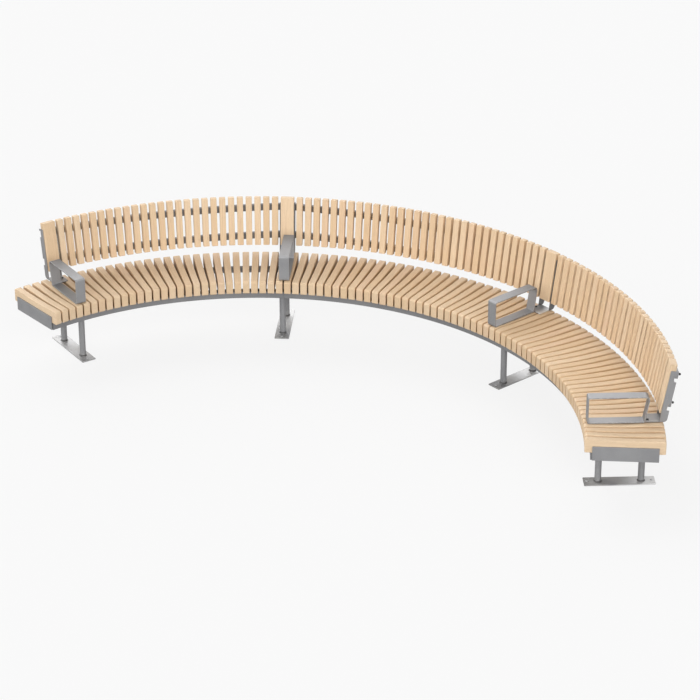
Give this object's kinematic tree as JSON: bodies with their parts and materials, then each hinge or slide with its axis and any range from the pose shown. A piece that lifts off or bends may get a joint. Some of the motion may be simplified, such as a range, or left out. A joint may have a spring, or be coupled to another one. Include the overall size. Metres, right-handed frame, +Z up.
{
  "type": "curved slatted bench",
  "caption": "Long curved street bench with radial wooden seat slats, a leaning slatted back, flat steel armrests and steel post supports on base plates.",
  "frame": {"origin": "middle of the bench's box on the ground", "axes": "+Z up; +X along the chord of the arc, to the right as seen from the front; +Y from the open, concave seat side towards the back"},
  "size_m": [4.7598, 1.8646, 0.8463],
  "materials": {
    "slat_wood": "pale honey hardwood, planed and oiled, satin",
    "frame_steel": "mid grey metallic powder coat, satin"
  },
  "bodies": {
    "root": {"base_plate_1": "frame_steel", "front_post_1": "frame_steel", "rear_post_1": "frame_steel", "bearer_1": "frame_steel", "back_bracket_1": "frame_steel", "armrest_1": "frame_steel", "back_plank_1": "slat_wood", "base_plate_2": "frame_steel", "front_post_2": "frame_steel", "rear_post_2": "frame_steel", "bearer_2": "frame_steel", "back_bracket_2": "frame_steel", "armrest_2": "frame_steel", "back_plank_2": "slat_wood", "base_plate_3": "frame_steel", "front_post_3": "frame_steel", "rear_post_3": "frame_steel", "bearer_3": "frame_steel", "back_bracket_3": "frame_steel", "armrest_3": "frame_steel", "back_plank_3": "slat_wood", "base_plate_4": "frame_steel", "front_post_4": "frame_steel", "rear_post_4": "frame_steel", "bearer_4": "frame_steel", "back_bracket_4": "frame_steel", "armrest_4": "frame_steel", "back_plank_4": "slat_wood", "seat_front_rail_left": "frame_steel", "seat_slats_left_1": "slat_wood", "seat_slats_left_2": "slat_wood", "back_slats_left": "slat_wood", "upper_back_rail_left": "frame_steel", "seat_front_rail_middle": "frame_steel", "seat_slats_middle_1": "slat_wood", "seat_slats_middle_2": "slat_wood", "back_slats_middle": "slat_wood", "upper_back_rail_middle": "frame_steel", "seat_front_rail_right": "frame_steel", "seat_slats_right_1": "slat_wood", "seat_slats_right_2": "slat_wood", "back_slats_right": "slat_wood", "upper_back_rail_right": "frame_steel", "end_plate_left": "frame_steel", "end_plate_right": "frame_steel"}
  },
  "joints": []
}
